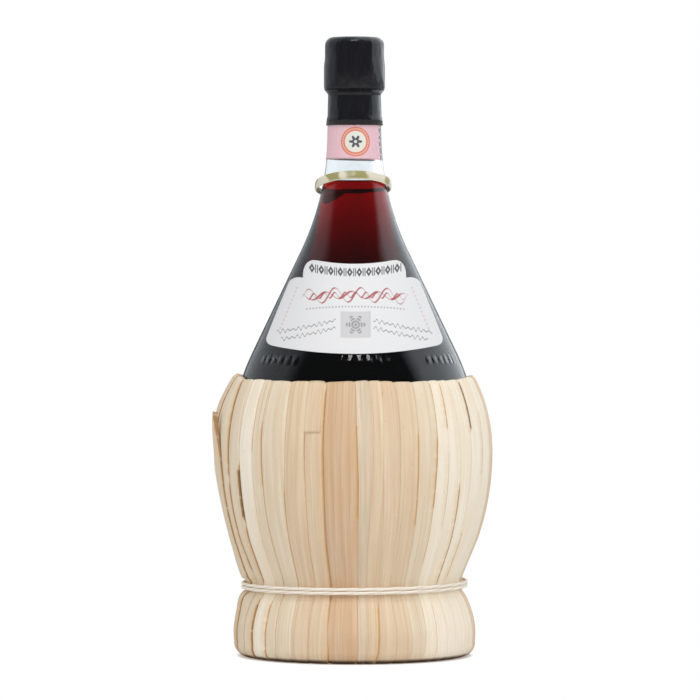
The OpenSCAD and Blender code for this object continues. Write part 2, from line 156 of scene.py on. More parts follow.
def piece(name, grid, wrap_rows=False, wrap_cols=True, caps=False, facts=None, flat=False):
    """A mesh object from a grid of points, with a quad between each four neighbours.

    The columns join up where wrap_cols is set, and the rows where wrap_rows is. A row whose points
    coincide closes to a pole. Caps close the two ends of a strip whose columns run over the top and
    back underneath. All faces run the same way round, and are turned over if their volume is negative.
    facts are arrays of vectors to keep on the points by name.
    """
    rows, cols = grid.shape[:2]
    r = np.arange(rows if wrap_rows else rows - 1)[:, None]
    c = np.arange(cols if wrap_cols else cols - 1)[None, :]
    below, above, after = r * cols, (r + 1) % rows * cols, (c + 1) % cols
    faces = np.stack([below + c, below + after, above + after, above + c], -1).reshape(-1, 4)
    if caps:
        k = np.arange(cols // 2 - 1)
        end = np.stack([k, k + 1, cols - 2 - k, cols - 1 - k], 1)
        faces = np.concatenate([faces, end[:, ::-1], end + (rows - 1) * cols])
    mesh = bpy.data.meshes.new(name)
    mesh.from_pydata((grid.reshape(-1, 3) * MM).tolist(), [], faces.tolist())
    for fact, values in (facts or {}).items():
        kept = mesh.attributes.new(fact, "FLOAT_VECTOR", "POINT")
        kept.data.foreach_set("vector", np.ascontiguousarray(values, np.float32).ravel())
    form = bmesh.new()
    form.from_mesh(mesh)
    bmesh.ops.remove_doubles(form, verts=form.verts, dist=1e-7)
    if form.calc_volume(signed=True) < 0:
        bmesh.ops.reverse_faces(form, faces=form.faces)
    form.to_mesh(mesh)
    form.free()
    mesh.polygons.foreach_set("use_smooth", np.full(len(mesh.polygons), not flat))
    made = bpy.data.objects.new(name, mesh)
    bpy.context.collection.objects.link(made)
    return made


def math(kind, reflected=False):
    """A method of Wire that adds the Math node of that kind on the wire and the other values."""
    def add(wire, *others):
        """The node's wire. A reflected node takes the other values first."""
        node = wire.socket.id_data.nodes.new("ShaderNodeMath")
        node.operation = kind
        for slot, value in zip(node.inputs, (*others, wire) if reflected else (wire, *others)):
            connect(slot, value)
        return Wire(node.outputs[0])
    return add


class Wire:
    """A shader socket. Arithmetic on it adds Math nodes.

    size is the value without its sign, fraction what it has over a whole number, most the larger of two,
    and angle that of the vector with this part upwards and the other to the right.
    """

    def __init__(self, socket):
        self.socket = socket

    __add__ = __radd__ = math("ADD")
    __sub__, __rsub__ = math("SUBTRACT"), math("SUBTRACT", reflected=True)
    __mul__ = __rmul__ = math("MULTIPLY")
    __truediv__, __pow__ = math("DIVIDE"), math("POWER")
    __lt__, __gt__ = math("LESS_THAN"), math("GREATER_THAN")
    sine, cosine, angle = math("SINE"), math("COSINE"), math("ARCTAN2")
    size, fraction, most = math("ABSOLUTE"), math("FRACT"), math("MAXIMUM")

    def fit(self, low, high):
        """0 at low and 1 at high, held between them."""
        held = (self - low) * (1 / (high - low))
        held.socket.node.use_clamp = True
        return held


def connect(slot, value):
    """Feeds a socket with a wire, a number, a vector or a colour of three numbers."""
    if isinstance(value, Wire):
        slot.id_data.links.new(value.socket, slot)
    elif isinstance(value, (tuple, list)) and slot.type == "RGBA":
        slot.default_value = (*value, 1)
    else:
        slot.default_value = value


class Finish:
    """A material or world under construction: node() makes its nodes, and shade() or end() closes it."""

    def __init__(self, name, kind="Material"):
        blocks = bpy.data.worlds if kind == "World" else bpy.data.materials
        self.block, self.kind = blocks.new(name), kind
        self.block.use_nodes = True
        self.tree = self.block.node_tree
        self.tree.nodes.clear()

    def node(self, kind, settings=None, sockets=None, out=0):
        """Adds a node, makes its settings, feeds its sockets and returns the wire of one output."""
        made = self.tree.nodes.new("ShaderNode" + kind)
        for key, value in (settings or {}).items():
            if key == "stops":
                ramp = made.color_ramp.elements
                while len(ramp) < len(value):
                    ramp.new(1)
                for stop, (place, colour) in zip(ramp, value):
                    stop.position, stop.color = place, (*colour, 1)
            else:
                setattr(made, key, value)
        for key, value in (sockets or {}).items():
            connect(made.inputs[key], value)
        return Wire(made.outputs[out])

    def mix(self, factor, first, second, blend="MIX"):
        """The first colour where factor is 0 and the second where it is 1."""
        return self.node("Mix", {"data_type": "RGBA", "blend_type": blend, "clamp_factor": True},
                         {0: factor, 6: first, 7: second}, 2)

    def fact(self, name):
        """A vector that the piece keeps on its points."""
        return self.node("Attribute", {"attribute_name": name}, out="Vector")

    def place(self):
        """Object coordinates in millimetres."""
        return self.node("VectorMath", {"operation": "SCALE"},
                         {0: self.node("TexCoord", out="Object"), "Scale": 1 / MM})

    def split(self, vector):
        """The three parts of a vector."""
        node = self.node("SeparateXYZ", None, {0: vector}).socket.node
        return [Wire(part) for part in node.outputs]

    def noise(self, vector, scale, detail=2, roughness=0.5, distortion=0.0):
        """Noise from 0 to 1 about 0.5, with a scale for each axis of the vector."""
        scaled = self.node("VectorMath", {"operation": "MULTIPLY"}, {0: vector, 1: scale})
        return self.node("TexNoise", None, {"Vector": scaled, "Scale": 1.0, "Detail": detail,
                                            "Roughness": roughness, "Distortion": distortion}, "Fac")

    def bump(self, height, depth, normal=None):
        """A normal from a height of 0 to 1 that stands for this depth in millimetres."""
        sockets = {"Height": height, "Distance": depth * MM, "Strength": 1.0}
        if normal is not None:
            sockets["Normal"] = normal
        return self.node("Bump", None, sockets)

    def ray(self, kind):
        """1 for a ray of that kind, such as Camera or Glossy."""
        return self.node("LightPath", out=f"Is {kind} Ray")

    def end(self, surface, volume=None):
        """Ends the nodes in their output."""
        output = self.tree.nodes.new("ShaderNodeOutput" + self.kind)
        connect(output.inputs["Surface"], surface)
        if volume is not None:
            connect(output.inputs["Volume"], volume)
        return self.block

    def shade(self, volume=None, **sockets):
        """Ends a material in a Principled shader. Underscores in names stand for spaces."""
        named = {key.replace("_", " "): value for key, value in sockets.items()}
        return self.end(self.node("BsdfPrincipled", None, named), volume)


def dress(made, material, slot, body, *nodes):
    """Gives a piece its material, its body and the CAD nodes that it stands for. The slot is not used."""
    made.data.materials.append(material)
    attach(made, body)
    if nodes:
        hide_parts(*nodes)
    return made


glass_outside = np.concatenate([belly_path(), mouth_path()])
inner_path = offset(belly_path(), glass_wall)
inner_path = inner_path[(inner_path[:, 0] >= bore_r) | (inner_path[:, 1] < belly_z)]
inner_path[0, 0] = 0
bore_low_z = inner_path[-1, 1] + 1.5
mouth_chamfer = 0.6
glass_inside = np.concatenate([inner_path, [[bore_r, bore_low_z], [bore_r, mouth_z - mouth_chamfer],
                                            [bore_r + mouth_chamfer, mouth_z]]])
glass = piece("flask_glass", around(np.concatenate([glass_outside, glass_inside[::-1]]), 192))
bead_count, bead_row_z = 70, 139.6


def glass_finish(name, bend, mirror):
    """Clear glass, a little wavy, with the raised beads.

    bend is its refraction against what it touches, and mirror the tint of its reflection seen straight on.
    """
    made = Finish(name)
    place = made.place()
    x, y, z = made.split(place)
    turn = x.angle(y * -1)
    in_row = (turn * (bead_count / 2)).sine().size().fit(0.35, 0.9)
    in_group = (turn * 7 + 1).sine().fit(-0.4, 0.2)
    raised = in_row * in_group * (z - bead_row_z).size().fit(2.6, 0.0)
    waves = made.noise(place, (0.05, 0.05, 0.02), detail=1)
    return made.shade(Base_Color=(0.97, 0.985, 0.975), Roughness=0.0, IOR=bend,
                      Transmission_Weight=1.0, Specular_Tint=mirror,
                      Normal=made.bump(raised, 0.5, made.bump(waves, 0.25)))


glass_bend, wine_bend = 1.5, 1.34
dress(glass, glass_finish("clear_glass", glass_bend, (1.0, 1.0, 1.0)), "glass", "root", "glass_bottle")

# Wine. Deep red, it fills the flask to just under the neck loop, and reads red only where it is thin.
# The glass that it wets bends light by the share of the two and has no mirror of its own, so the
# wine's sides bend almost none. The wine's top climbs the glass a little.
wine_z = box("wine")[1].z
wine_gap, climb = 0.05, 0.75
wine_path = offset(belly_path(), glass_wall + wine_gap)
wine_path = wine_path[(wine_path[:, 0] > bore_r) | (wine_path[:, 1] < belly_z)]
wine_path = wine_path[wine_path[:, 1] < wine_z - 0.3]
wine_path[0, 0] = 0
wine_top_r = float(np.interp(wine_z, inner_path[:, 1], inner_path[:, 0])) - wine_gap
meniscus = np.array([[wine_top_r, wine_z], [wine_top_r - 0.5, wine_z - 0.45],
                     [wine_top_r - 1.6, wine_z - 0.7], [0, wine_z - climb]])
wine = piece("wine_fill", around(np.concatenate([wine_path, meniscus]), 128))


def wine_finish(name, bend):
    """Wine that tints what is seen through it, the more the deeper it is."""
    made = Finish(name)
    depth = made.node("VolumeAbsorption", None, {"Color": (0.68, 0.0, 0.0), "Density": 220.0})
    return made.shade(volume=depth, Base_Color=(0.90, 0.20, 0.22), Roughness=0.0, IOR=bend,
                      Transmission_Weight=1.0)


dress(wine, wine_finish("red_wine", 1.01), "wine", "root", "wine")
wine.data.materials.append(wine_finish("wine_surface", wine_bend))
wine.data.polygons.foreach_set("material_index", [
    int(face.normal.z > 0.5 and face.center.z > (wine_z - 1) * MM) for face in wine.data.polygons])
glass.data.materials.append(glass_finish("wetted_glass", glass_bend / wine_bend, (0.0, 0.0, 0.0)))
glass.data.polygons.foreach_set("material_index", [
    int(face.center.z < (wine_z - 0.5) * MM
        and np.hypot(face.center.x, face.center.y) / MM < glass_radius(face.center.z / MM) - glass_wall / 2
        and face.center.z > (bottom_z + glass_wall / 2) * MM)
    for face in glass.data.polygons])

# Cork. A natural cork, punched from bark, with a small chamfer at both ends. It is pressed into the
# bore and flush with the mouth, so the capsule hides it.
cork_low, cork_high = box("cork")
cork_r, chamfer = cork_high.x, 0.7
cork_path = np.array([[0, cork_low.z], [cork_r - chamfer, cork_low.z], [cork_r, cork_low.z + chamfer],
                      [cork_r, cork_high.z - chamfer], [cork_r - chamfer, cork_high.z], [0, cork_high.z]])
cork = piece("bark_cork", around(cork_path, 96), flat=True)
cork_finish = Finish("natural_cork")
cork_place = cork_finish.place()
grain = cork_finish.noise(cork_place, (0.9, 0.9, 0.35), detail=4, roughness=0.7)
pores = cork_finish.noise(cork_place, (0.35, 2.2, 1.1), distortion=0.4)
pores = pores.fit(0.62, 0.70)
bark_tones = [(0.3, (0.42, 0.25, 0.12)), (0.7, (0.66, 0.45, 0.26))]
cork_colour = cork_finish.node("ValToRGB", {"stops": bark_tones}, {0: grain})
dress(cork, cork_finish.shade(
    Base_Color=cork_finish.mix(pores, cork_colour, (0.16, 0.08, 0.04)), Roughness=0.85,
    Normal=cork_finish.bump(grain - pores, 0.25)), "cork", "cork", "cork")

# Seal strip. A pink paper band, glued once round the neck under the capsule and cut with a wavy end.
# Its print is a fine lattice with a ring round a plain rosette at the front.
strip_low, strip_high = box("seal_strip")
paper_gap, strip_t = 0.05, 0.25
strip_end, strip_span = np.radians(64), np.radians(325)
strip_tuck, strip_drop = 3.2, 9.3
strip_mid_z = strip_high.z - strip_tuck - strip_drop
end_wave, end_wave_h = 0.11, 3.1


def both_sides(top, under):
    """The columns of a closed strip: over its top and back underneath."""
    return np.concatenate([top, under[:, ::-1]], 1)


def strip_skin(proud):
    """Points of the seal strip at that height over the glass, and their places on its print.

    Its lower edge hangs in a slow wave and its end is cut in short ones. The print's place across is the
    angle times the radius at the strip's middle.
    """
    share = np.linspace(0, 1, 160)[None, :]
    t = strip_end - strip_span + strip_span * share
    low_z = strip_low.z + 0.7 - 0.5 * np.sin(t) - 0.6 * (1 - np.cos(t - 0.8)) / 2
    z = low_z + (strip_high.z - low_z) * np.linspace(0, 1, 24)[:, None]
    t = t + share ** 40 * end_wave * np.cos(2 * np.pi * (z - strip_low.z) / end_wave_h)
    printed = np.stack([glass_radius(strip_mid_z) * t, z, 0 * z], -1)
    return turned(glass_radius(z) + proud, t, z), printed


strip_top, strip_print = strip_skin(paper_gap + strip_t)
strip = piece("seal_band", both_sides(strip_top, strip_skin(paper_gap)[0]), caps=True,
              facts={"print": both_sides(strip_print, strip_print)})


def polar(x, y):
    """Distance and angle of a place on a print from the middle of its pattern."""
    return (x * x + y * y) ** 0.5, y.angle(x)


strip_finish = Finish("seal_paper")
print_x, print_z = strip_finish.split(strip_finish.fact("print"))[:2]
ring_far, ring_turn = polar(print_x - 0.5, print_z - (strip_mid_z + 0.4))
lattice = ((print_x * 5.2).sine() * (print_z * 5.2).sine()).size()
paper_pink = strip_finish.mix(lattice * 0.55, (0.83, 0.56, 0.61), (0.70, 0.40, 0.47))
ring_print = strip_finish.mix(((ring_turn * 30).sine() * 0.4 + (ring_far * 5.5).sine()).fit(-0.6, 0.9),
                              (0.70, 0.20, 0.14), (0.84, 0.46, 0.36))
in_ring = ring_far < 7.0
in_disc = ring_far < 4.9
petals = ring_far - (2.3 + 0.8 * (ring_turn * 6).cosine())
in_rose = (petals < 0) * (ring_far > 0.7)
strip_colour = strip_finish.mix(in_ring, paper_pink, ring_print)
strip_colour = strip_finish.mix(in_disc, strip_colour, (0.78, 0.76, 0.68))
strip_colour = strip_finish.mix(in_rose, strip_colour, (0.09, 0.10, 0.13))
dress(strip, strip_finish.shade(Base_Color=strip_colour, Roughness=0.6), "seal_paper", "root", "seal_strip")

# Capsule. A dull black foil cap, shrunk over mouth and neck, and cut below the bead, so that its top
# lifts off and leaves the skirt. Shrinking leaves its surface a little uneven.
foil_t, foil_clear, foil_cut, skirt_flare = 0.35, 0.08, 0.25, 0.3
foil_drop = 1.1


def crumple(t, z):
    """Shrink marks in the foil: slow waves round the neck, each with its own lean."""
    slow = np.sin(3 * t + 0.21 * z) + np.sin(5 * t - 0.35 * z + 1) + np.sin(2 * t + 0.6 * z + 2)
    return 0.025 * slow * np.clip((mouth_z + 0.4 - z) / 3, 0, 1)


def cap_skin(proud):
    """Outline of one side of the cap, proud of the mouth by that much, from its cut edge to the axis."""
    path = mouth_path(proud)
    path = path[path[:, 1] > bead_low_z + 0.3]
    return np.concatenate([[[bead_r + proud, bead_low_z]], path, [[0, path[-1, 1]]]])


cap_path = np.concatenate([cap_skin(foil_clear + foil_t), cap_skin(foil_clear)[::-1]])
cap = piece("foil_cap", around(cap_path, 144, crumple), wrap_rows=True)

strip_out = paper_gap + strip_t + foil_clear
skirt_top_r = bead_r - (bead_r - glass_radius(throat_z)) / bead_slope * foil_cut + foil_clear
skirt_low_z, skirt_high_z = box("capsule_skirt")[0].z - foil_drop, bead_low_z - foil_cut
cover_z = skirt_low_z + strip_tuck + foil_t
skirt_z = np.concatenate([[skirt_low_z, cover_z], np.linspace(cover_z, throat_z - foil_t, 14)[1:]])
skirt_in = glass_radius(skirt_z) + np.where(skirt_z > cover_z, foil_clear, strip_out)
skirt_in[0] += skirt_flare
skirt_path = np.concatenate([
    np.stack([skirt_in + foil_t, skirt_z], 1),
    [[skirt_top_r + foil_t, skirt_high_z], [skirt_top_r, skirt_high_z]],
    np.stack([skirt_in, skirt_z], 1)[::-1]])
skirt = piece("foil_skirt", around(skirt_path, 144, crumple), wrap_rows=True)
foil_finish = Finish("black_foil")
foil_place = foil_finish.place()
foil_grain = foil_finish.noise(foil_place, (0.6, 0.6, 0.14), detail=3)
foil_dents = foil_finish.noise(foil_place, (0.22, 0.22, 0.12), detail=1)
foil_material = foil_finish.shade(
    Base_Color=foil_finish.mix(foil_grain, (0.006, 0.006, 0.008), (0.013, 0.013, 0.016)),
    Roughness=foil_grain * 0.12 + 0.13, Specular_IOR_Level=0.34,
    Normal=foil_finish.bump(foil_grain, 0.12, foil_finish.bump(foil_dents, 0.5)))
dress(cap, foil_material, "capsule", "capsule_top", "capsule_top")
dress(skirt, foil_material, "capsule", "root", "capsule_skirt")

# Front label. A sheet of white paper with slanting sides and a tab, glued on the cone. Cut from a
# flat sheet, its edges bow where it wraps the cone. Its print is plain ornament.
label_t, label_z = 0.2, 142.6
label_body_h, label_tab_h = 31.3, 10.0
label_low_w, label_top_w, label_tab_w, label_tip_w = 42.2, 29.6, 24.4, 18.1
label_low_bow, label_top_bow = 4.1, 1.7
low_corner, top_corner = (3.9, 3.12), (4.94, 3.9)
label_notch, label_h = label_body_h + 0.9, label_body_h + label_tab_h


def rounded_off(far, width, height):
    """What an elliptic corner takes off the half width at a distance from its end."""
    return width * (1 - root(1 - np.clip(1 - far / height, 0, 1) ** 2))


def label_half(up):
    """Half width of the label at a level: slanting sides with rounded corners, a notch and an arched tab."""
    side = label_low_w + (label_top_w - label_low_w) * up / label_body_h
    side = side - rounded_off(up, *low_corner) - rounded_off(label_notch - up, *top_corner)
    share = np.clip((up - label_notch) / (label_h - label_notch), 0, 1)
    tab = label_tab_w - 0.4 - (label_tab_w - label_tip_w) * (1 - root(1 - share ** 2.6))
    return np.where(up < label_notch, side, tab)


def label_skin(proud, columns=90):
    """Points of the label: across by the half width at each level, and up by the level and the bow.

    The bow lifts the sides by the square of the distance from the middle, more towards the tab.
    """
    levels = ((0, 3.2, 14), (4, label_notch - 4, 30), (label_notch - 3.8, label_notch - 0.01, 16),
              (label_notch, label_h - 1.5, 14), (label_h - 1.3, label_h, 10))
    up = np.concatenate([np.linspace(*level) for level in levels])[:, None]
    x = label_half(up) * np.linspace(-1, 1, columns)[None, :]
    bow = label_low_bow / label_low_w ** 2
    bow = bow + (label_top_bow / label_tip_w ** 2 - bow) * up / label_h
    z = label_z + up + bow * x * x
    r = glass_radius(z) + proud
    return np.stack([x, -root(r ** 2 - x ** 2), z], -1), np.stack([x, up + 0 * x, 0 * x], -1)


label_top, label_print = label_skin(paper_gap + label_t)
label = piece("paper_label", both_sides(label_top, label_skin(paper_gap)[0]), caps=True,
              facts={"print": both_sides(label_print, label_print + [0, 0, 50])})
label_finish = Finish("label_paper")
label_at = label_finish.fact("print")
label_x, label_up, label_back = label_finish.split(label_at)
fibre = label_finish.noise(label_at, (1.4, 1.4, 1.0), detail=4)
label_colour = label_finish.mix(fibre, (0.72, 0.72, 0.73), (0.82, 0.82, 0.83))


def within(value, middle, half, soft=0.12):
    """1 where the value is less than half from the middle, with a soft edge."""
    return (value - middle).size().fit(half + soft, half - soft)


def ornament(mask, ink):
    """The label's colour so far, printed over with the ink where the mask is 1."""
    return label_finish.mix(mask, label_colour, ink)


# Tab: a row of dark hollow lozenges between upright bars.
tab_pitch = 4.4
tab_x, tab_v = ((label_x / tab_pitch).fraction() - 0.5) * tab_pitch, label_up - 37.4
lozenge = (tab_x.size() / 1.35 + tab_v.size() / 2.1).fit(1.1, 0.95)
hollow = (tab_x.size() / 0.5 + tab_v.size() / 0.8).fit(0.8, 1.0)
bars = within(tab_x.size(), 1.75, 0.22) * within(tab_v, 0, 1.9)
tab_print = (lozenge * hollow).most(bars) * within(label_x, 0.4, 21.6)
label_colour = ornament(tab_print * 0.92, (0.03, 0.03, 0.035))
# Middle: a red scroll of three crossing waves that swell and thin, tapering to its ends.
arch = label_up + label_x * label_x * 0.006
scroll_fade = (label_x.size() / 25.5).fit(1.0, 0.8)
for turn_pace, lean, reach in ((0.52, 0.0, 3.3), (0.52, 2.2, 1.6), (1.3, 0.8, 1.2)):
    phase = label_x * turn_pace + lean
    wave = arch - 27.0 - phase.sine() * reach
    swell = (phase.cosine().fit(-0.4, 1.0) * 0.5 + 0.06) * scroll_fade
    label_colour = ornament((wave.size() - swell).fit(0.2, 0.0) * scroll_fade * 0.85, (0.40, 0.04, 0.055))
# Under it: a hairline of dots, a hatched square with a rosette, and grey waves on both sides.
dots = within(arch, 21.6, 0.35) * ((label_x * 4.2).sine() * 0.8 + 0.3).fit(0.0, 0.6) * within(label_x, 0, 23)
label_colour = ornament(dots * 0.6, (0.22, 0.20, 0.21))
square_x, square_v = label_x - 0.5, label_up - 13.3
square = within(square_x, 0, 7.0) * within(square_v, 0, 6.0)
square_far, square_turn = polar(square_x, square_v)
hatch = ((square_x + square_v) * 6.0).sine().fit(-1.0, 1.0) * 0.2 + fibre * 0.3
petal = (square_far - (3.6 + (square_turn * 6).cosine() * 1.3)).fit(0.15, -0.15)
hatch = hatch * (1 - petal) + petal * ((square_far * 5.0).sine().fit(-1.0, 0.6) * 0.45 + 0.30)
label_colour = ornament(hatch * square, (0.16, 0.15, 0.16))
for row_up, shift, row_start, row_end in ((18.0, 0.0, 8.7, 36.0), (14.6, 1.3, 8.7, 34.0)):
    ripple = (label_x * 2.6 + shift).sine() * ((label_x * 0.7).sine() * 0.3 + 0.6)
    row = label_up - row_up + label_x.size() * 0.33 - ripple
    row_span = within(label_x.size(), (row_end + row_start) / 2, (row_end - row_start) / 2)
    label_colour = ornament((row.size() - 0.16).fit(0.22, 0.0) * row_span * 0.7, (0.15, 0.14, 0.15))
# Near the slanting sides a faint pink dotted border, and a bare back.
border = label_x.size() - (label_low_w - 4.6 - (label_low_w - label_top_w) / label_body_h * label_up)
border = within(border, 0, 0.5) * (label_up * 3.3).sine().fit(-0.6, 0.6) * within(label_up, 17.5, 10.5)
label_colour = ornament(border * 0.35, (0.62, 0.30, 0.30))
label_colour = ornament(label_back > 25, (0.80, 0.80, 0.80))
dress(label, label_finish.shade(Base_Color=label_colour, Roughness=0.55,
                                Normal=label_finish.bump(fibre, 0.03)), "label_paper", "root", "front_label")

# Basket lining and foot ring. Bundles of sedge pad the round bottom, and a coil of the same, bent
# to a ring, stands in the foot. The leaves hide both, but for the coil's underside.
swell_r, swell_z, upper_arc, lower_arc = 65.3, 96.4, 77.0, 130.0
waist_slope = np.radians(18.5)
waist_r, waist_z, foot_r, foot_z, foot_arc, foot_round, hole_r = 51.0, 33.5, 57.2, 10.5, 38.0, 6.5, 38.0
rim_z, fold_in = 131.1, 21.0
leaf_t, leaf_lift, leaf_crown, leaf_gap = 0.45, 1.0, 0.12, 0.3
leaf_cover, leaf_lean = np.radians(1.1), np.radians(1.2)
front_deg = [9, 10, 6, 10, 9.4, 9.1, 14.2, 4.5, 5.8, 7.6, 8, 8, 7, 7.3, 7.1, 10, 11]
front_start, back_count, back_vary = -67, 23, 0.28
cord_d, cord_gap, cord_turns, rim_cord_d = 1.7, 0.5, 2, 1.6
cord_pitch = cord_d + cord_gap
waist_half = (cord_pitch * cord_turns + cord_d) / 2 + leaf_gap
stack = leaf_t + leaf_lift * (1 + np.degrees(leaf_cover) / min(front_deg))
slope_z = swell_z - lower_arc * np.sin(waist_slope)
slope_r = swell_r - lower_arc * (1 - np.cos(waist_slope))


def basket_radius(z):
    """Outside radius of the basket at height z: an arc over the swell, a wider one below, then straight."""
    z = np.asarray(z, float)
    return np.select(
        [z > swell_z, z > slope_z],
        [swell_r - upper_arc + root(upper_arc ** 2 - (z - swell_z) ** 2),
         swell_r - lower_arc + root(lower_arc ** 2 - (swell_z - z) ** 2)],
        slope_r + (waist_r - slope_r) * (slope_z - z) / (slope_z - waist_z - waist_half))


def foot_radius(z):
    """Outside radius of the foot at height z, an arc about its widest place."""
    return foot_r - foot_arc + root(foot_arc ** 2 - (np.asarray(z, float) - foot_z) ** 2)


turn_z = rim_z - stack - 1.1
fold_bed = leaf_gap / 2 + leaf_t + leaf_crown
turn_in_r, turn_out_r = float(glass_radius(turn_z)) + fold_bed, float(basket_radius(turn_z)) - stack
turn_r, turn_mid_r = (turn_out_r - turn_in_r) / 2, (turn_out_r + turn_in_r) / 2
fold_z = turn_z - fold_in
lining_low_z = waist_z + waist_half

lining_z = np.linspace(lining_low_z, turn_z - rim_cord_d - 2 * leaf_gap, 60)
lining_in = glass_radius(lining_z) + np.where(lining_z > fold_z - 2, fold_bed + leaf_gap, leaf_gap)
lining_path = np.concatenate([np.stack([basket_radius(lining_z) - stack - leaf_gap, lining_z], 1),
                              np.stack([lining_in, lining_z], 1)[::-1]])
lining = piece("sedge_padding", around(lining_path, 128), wrap_rows=True)

ring_low, ring_edge, heel_w, heel_z, coil_ridges = leaf_t + leaf_gap, 3.0, 3.2, 3.4, 46
foot_low_r = float(foot_radius(foot_round)) - foot_round
ring_z = np.linspace(foot_round, waist_z - waist_half - cord_d, 24)
ring_top_z = lining_low_z - leaf_gap
bed = offset(belly_path()[:30], -leaf_gap)
bed = bed[bed[:, 1] < ring_top_z]
ring_path = np.concatenate([
    [[hole_r + ring_edge - 0.5, ring_low], [foot_low_r, ring_low], [foot_low_r + heel_w, heel_z]],
    np.stack([foot_radius(ring_z) - stack - leaf_gap, ring_z], 1),
    [[waist_r - stack - leaf_gap, waist_z - waist_half], [waist_r - stack - leaf_gap, ring_top_z]],
    bed[bed[:, 0] > hole_r][::-1], [[hole_r, bottom_z - ring_edge], [hole_r, ring_low + ring_edge]]])


def twisted(t, z):
    """Strands of a coil: ridges that climb round it, the size of a sine less one, above the underside."""
    return np.where(z > 1.5, 0.35 * (np.abs(np.sin(coil_ridges / 2 * t + 0.16 * z)) - 1), 0)


ring = piece("sedge_coil", around(ring_path, 8 * coil_ridges, twisted), wrap_rows=True)
sedge_finish = Finish("sedge_bundle")
sedge_place = sedge_finish.place()
sedge_grain = sedge_finish.noise(sedge_place, (0.6, 0.6, 0.12), detail=4, roughness=0.65)
sedge_tones = [(0.3, (0.22, 0.15, 0.07)), (0.7, (0.55, 0.42, 0.25))]
sedge_material = sedge_finish.shade(
    Base_Color=sedge_finish.node("ValToRGB", {"stops": sedge_tones}, {0: sedge_grain}),
    Roughness=0.8, Normal=sedge_finish.bump(sedge_grain, 0.6))
dress(lining, sedge_material, "sedge_bundle", "root", "sedge_lining")
dress(ring, sedge_material, "sedge_bundle", "root", "foot_ring")

# Leaves. Strips of dried sedge stand side by side round the flask, each lapped over its neighbour.
# They fold in over the rim, run down, are bound in at the waist and turn under the foot.
leaf_count = len(front_deg) + back_count


def back_wave(k):
    """Waves of seven and three to the back, which add up to nothing over its leaves."""
    step = 2 * np.pi * (k + 0.5) / back_count
    return (np.cos(7 * step) + np.cos(3 * step)) / 2


back_deg = (360 - sum(front_deg)) / back_count * (1 + back_vary * back_wave(np.arange(back_count)))
seam_at = np.radians(front_start + np.concatenate([[0], np.cumsum([*front_deg, *back_deg])]))


def distances(path):
    """How far along a path each of its points is."""
    steps = np.linalg.norm(np.diff(path, axis=0), axis=1)
    return np.concatenate([[0], np.cumsum(steps)])


def rows_of_path(step=1.4):
    """The leaf's run, its normals and its distances. A row holds radius, height, lift and cover.

    Its parts follow each other: fold, half turn over the rim, belly, waist, foot, corner and underside.
    """
    def part(r, z, lift, cover):
        """One part of the run, with a lift and a cover that are steady or change along it."""
        return np.stack(np.broadcast_arrays(r, z, lift, cover), 1)

    trim = -0.25
    fold = np.linspace(fold_z, turn_z, 30)[:-1]
    over = np.linspace(0, 1, 24)
    half = np.pi * (1 - over)
    outside = np.linspace(turn_z, waist_z + waist_half, 160)[1:]
    foot = np.linspace(waist_z - waist_half - cord_d, foot_round, 40)
    corner = np.radians(np.linspace(0, -90, 16))[1:]
    corner_lift = np.linspace(1, 0, 15)
    depth = foot_round - leaf_t - leaf_lift * corner_lift
    dense = np.concatenate([
        part(glass_radius(fold) + fold_bed, fold, 0, trim),
        part(turn_mid_r + turn_r * np.cos(half), turn_z + turn_r * np.sin(half), over,
             trim + (1 - trim) * over ** 2),
        part(basket_radius(outside) - stack, outside, 1, 1),
        part(waist_r - stack, np.linspace(waist_z + waist_half, waist_z - waist_half, 12)[1:], 1, 1),
        part(foot_radius(foot) - stack, foot, 1, 1),
        part(foot_low_r + depth * np.cos(corner), foot_round + depth * np.sin(corner), corner_lift,
             np.linspace(1, trim, 15)),
        part(np.linspace(foot_low_r, hole_r + 2, 12)[1:], leaf_t, 0, trim)])
    kernel = np.ones(3) / 3
    for column in (0, 1):
        dense[1:-1, column] = np.convolve(dense[:, column], kernel, "valid")
    far = distances(dense[:, :2])
    at = np.linspace(0, far[-1], int(far[-1] / step))
    run = np.stack([np.interp(at, far, column) for column in dense.T], 1)
    return run, normals(run[:, :2]), at


leaf_run, leaf_normal, leaf_far = rows_of_path()
leaf_z = leaf_run[:, 1]
seam_wander, blade_r = np.radians(0.45), 58


def wander(x, seed, pace, waves=4):
    """A smooth wandering line of about unit height: sines of rising pace with seeded phases."""
    draw = np.random.default_rng(seed)
    total = 0
    for k in range(waves):
        total = total + np.sin(x * pace * (1 + 0.7 * k) + draw.uniform(0, 2 * np.pi)) / (1 + k)
    return total / 1.4


def seam(i):
    """Direction of seam i along the run: its place, a lean over the height and a small wander."""
    lean = leaf_lean * np.sin(np.radians(97 * (i % leaf_count)))
    return (seam_at[i] + lean * (leaf_z - waist_z) / (rim_z - waist_z)
            + seam_wander * wander(leaf_far, 100 + i % leaf_count, 0.045))


def tall(t):
    """How far the fold stands up: the leaves at the two sides reach higher than the rest."""
    a = np.degrees(np.arctan2(np.sin(t), np.cos(t)))
    return 2.2 * np.exp(-((np.abs(a) - 84) / 15) ** 2) + 0.25 * np.sin(7 * t + 1) + 0.2 * np.sin(12 * t)


def leaf_skin(start, span, height):
    """Points of a leaf's face: the run moved along its normals by the height, between two seams.

    start and span are angles at each row. The part under the rim is lifted by tall(t).
    """
    t = start[:, None] + span[:, None] * np.linspace(0, 1, height.shape[1])
    up = np.clip((leaf_z[:, None] - 117) / 14, 0, 1) ** 1.5
    r = leaf_run[:, :1] + leaf_normal[:, :1] * height - 0.75 * tall(t) * up
    z = leaf_z[:, None] + leaf_normal[:, 1:] * height + tall(t) * up
    return turned(r, t, z)
